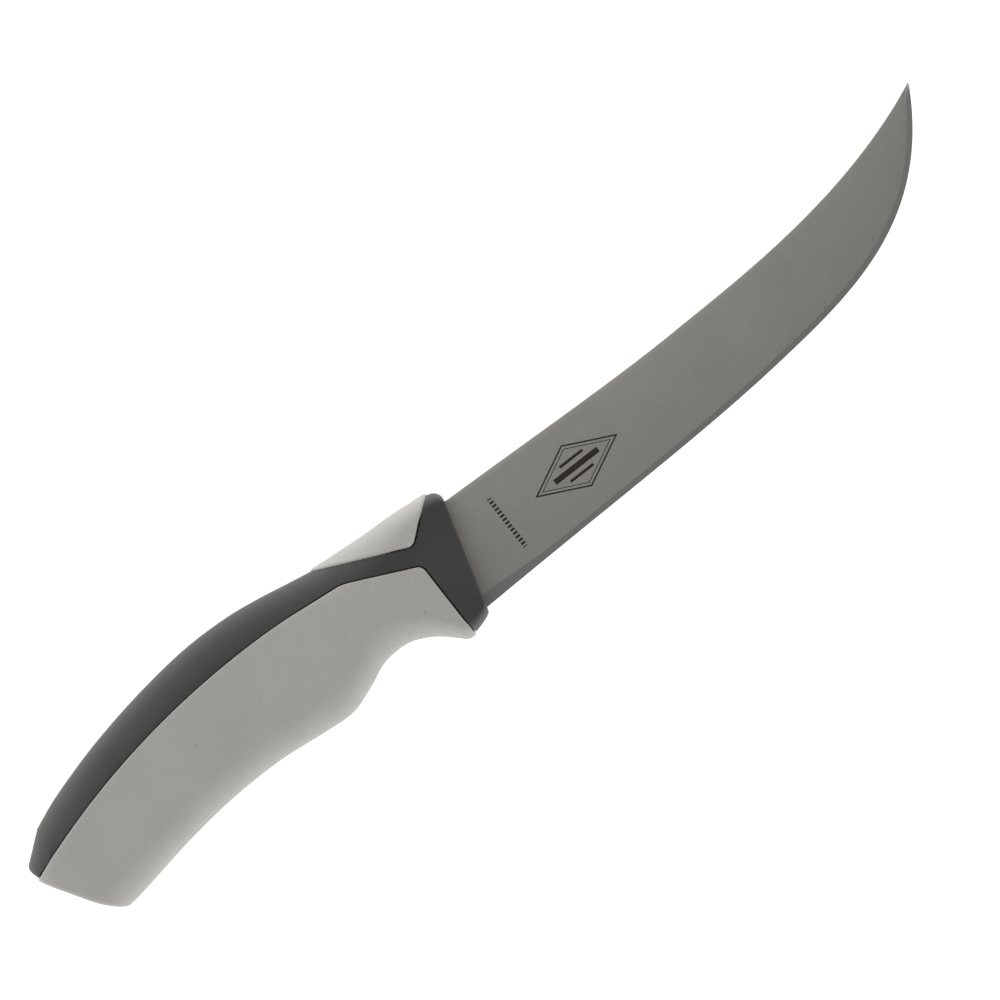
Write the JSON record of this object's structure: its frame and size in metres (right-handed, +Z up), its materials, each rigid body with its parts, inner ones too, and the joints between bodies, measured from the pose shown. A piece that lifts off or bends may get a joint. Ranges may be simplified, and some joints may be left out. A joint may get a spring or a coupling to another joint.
{
  "type": "boning knife",
  "caption": "Butcher's boning knife with an upswept satin steel blade and a dark moulded handle faced with pale soft grip panels.",
  "frame": {"origin": "middle of the bounding box's base, with the knife lying on its side on the flat of its grip", "axes": "+X along the knife from the butt to the tip, +Y from the cutting edge towards the spine, +Z up out of the blade's side"},
  "size_m": [0.2748, 0.0398, 0.023],
  "materials": {
    "blade_steel": "satin ground",
    "core_plastic": "fine satin moulding",
    "grip_plastic": "soft matte moulding"
  },
  "bodies": {
    "root": {"blade": "blade_steel", "core": "core_plastic", "belly_grip": "grip_plastic", "thumb_panel": "grip_plastic"}
  },
  "joints": []
}
